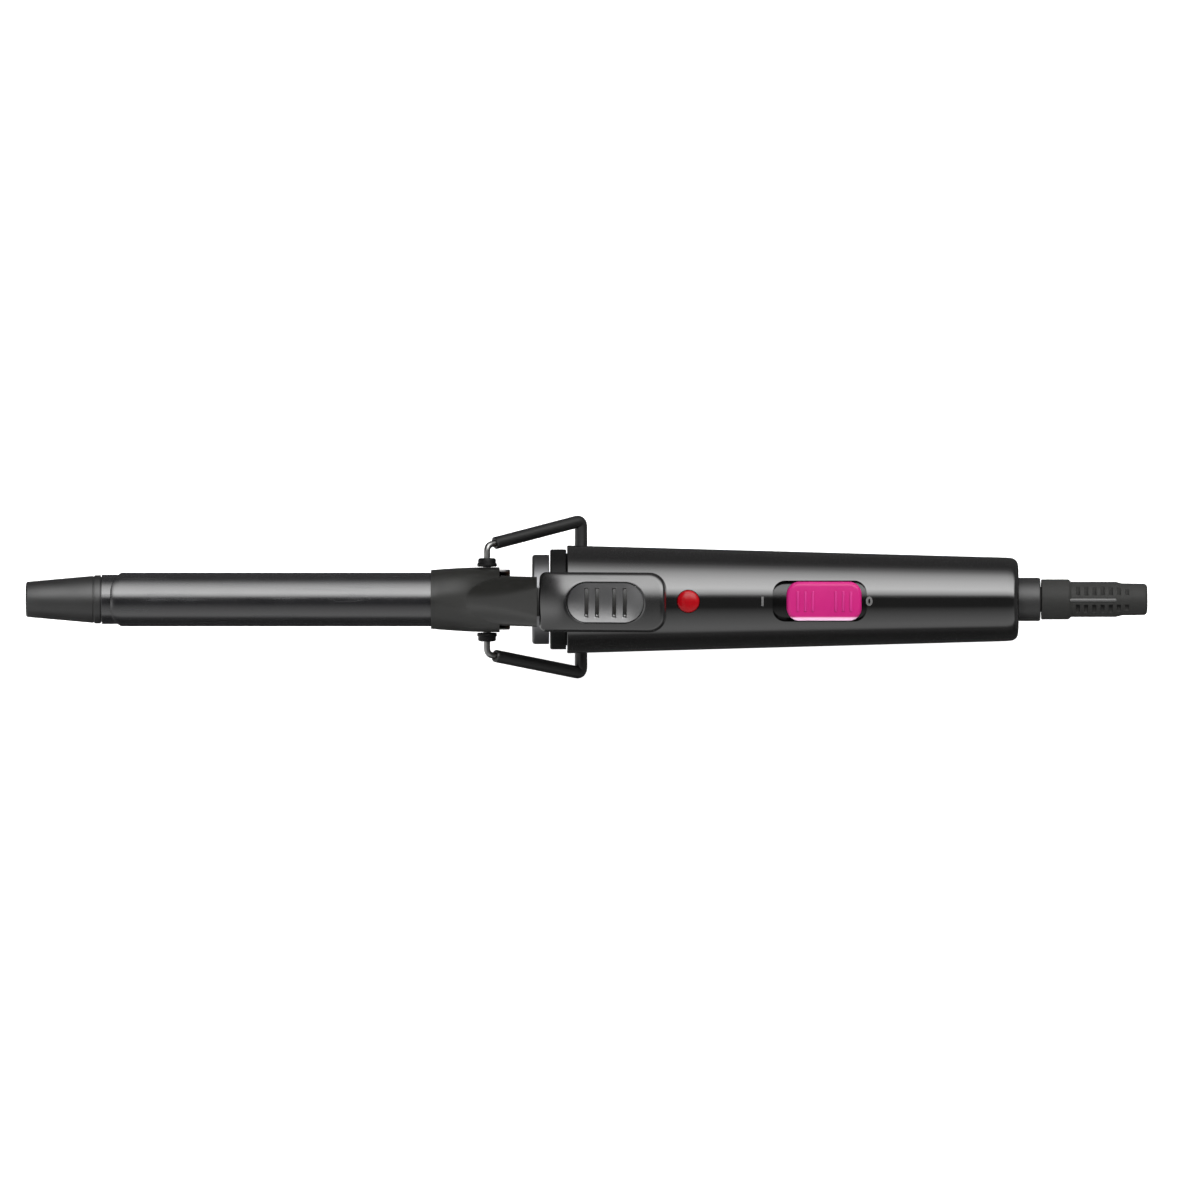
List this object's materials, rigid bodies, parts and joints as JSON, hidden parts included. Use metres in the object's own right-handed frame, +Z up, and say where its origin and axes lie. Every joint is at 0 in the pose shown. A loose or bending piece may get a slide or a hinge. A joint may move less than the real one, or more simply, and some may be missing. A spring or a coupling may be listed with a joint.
{
  "type": "curling iron",
  "caption": "Slim curling iron: ceramic-coated barrel with a sprung hair clamp and thumb lever, folding wire stand, tapered handle with slide switch, lamp and cord swivel.",
  "frame": {"origin": "centre of the object's box in plan, on the surface the iron lies on (under the folded stand's crossbar and the handle's rear rim)", "axes": "+X from the cool tip towards the cord end, +Y to the left side of the iron, +Z up through the thumb pad and the switch; the barrel axis lies in the XZ plane and falls 3.43 degrees towards the cord end"},
  "size_m": [0.356, 0.0516, 0.0496],
  "materials": {
    "gloss_black": "gloss",
    "satin_black": "satin",
    "matte_black": "matte",
    "sleeve_black": "satin",
    "tip_plastic": "satin",
    "swivel_black": "satin",
    "ceramic_coat": "satin",
    "lever_paint": "satin",
    "grip_grey": "satin",
    "steel": "polished",
    "aluminium": "satin",
    "brass": "satin",
    "ptc_ceramic": "matte",
    "insulator": "matte",
    "red_lens": "gloss",
    "magenta": "satin",
    "clear_plastic": "gloss",
    "lamp_glass": "gloss",
    "lead_red": "satin",
    "lead_blue": "satin",
    "relief_rubber": "matte"
  },
  "bodies": {
    "iron": {"cool_tip": "tip_plastic", "barrel_tube": "ceramic_coat", "heat_spreader_upper": "aluminium", "heat_spreader_lower": "aluminium", "ptc_heater": "ptc_ceramic", "insulator_sleeve": "insulator", "lever_spring": "steel", "hinge_bracket": "steel", "pivot_pin_left": "steel", "stand_bush_left": "matte_black", "pivot_pin_right": "steel", "stand_bush_right": "matte_black", "front_collar": "gloss_black", "collar_ring": "matte_black", "handle_top_shell": "gloss_black", "handle_bottom_shell": "gloss_black", "shell_screw_front": "steel", "shell_screw_rear": "steel", "switch_body": "matte_black", "switch_terminal_load": "brass", "switch_terminal_live": "brass", "indicator_lens": "red_lens", "neon_lamp": "lamp_glass", "lamp_resistor": "ptc_ceramic", "thermal_fuse": "aluminium", "lead_heater_load": "lead_red", "lead_heater_neutral": "lead_blue", "lead_fuse_brush": "lead_blue", "lead_switch_brush": "lead_red", "contact_brush_neutral": "brass", "contact_brush_live": "brass"},
    "lever": {"clamp_plate": "ceramic_coat", "lever_arm": "lever_paint", "thumb_pad": "satin_black", "grip_insert": "grip_grey", "pad_screw": "steel"},
    "stand": {"stand_wire": "steel", "stand_sleeve_left": "sleeve_black", "stand_sleeve_right": "sleeve_black", "stand_sleeve_cross": "sleeve_black"},
    "switch_slide": {"switch_button": "magenta", "switch_slider": "clear_plastic"},
    "cord_swivel": {"swivel_nose": "swivel_black", "swivel_core": "insulator", "slip_ring_neutral": "brass", "slip_ring_live": "brass", "strain_relief": "relief_rubber"}
  },
  "joints": [
    {"name": "clamp_hinge", "type": "hinge", "parent": "iron", "child": "lever", "pos_m": [-0.03134, 0, 0.02614], "axis": [0, 1, 0], "range_deg": [0, 9], "stiffness_Nm_per_rad": 0.6, "springref_deg": -20.05, "deforming": ["lever_spring"]},
    {"name": "stand_hinge", "type": "hinge", "parent": "iron", "child": "stand", "pos_m": [-0.03134, 0, 0.02614], "axis": [0, 1, 0], "range_deg": [0, 75]},
    {"name": "switch_travel", "type": "slide", "parent": "iron", "child": "switch_slide", "axis": [0.9982, 0, -0.0598], "range_m": [-0.0036, 0]},
    {"name": "cord_turn", "type": "hinge", "parent": "iron", "child": "cord_swivel", "pos_m": [0.13179, 0, 0.01337], "axis": [0.9982, 0, -0.0598], "continuous": true}
  ]
}
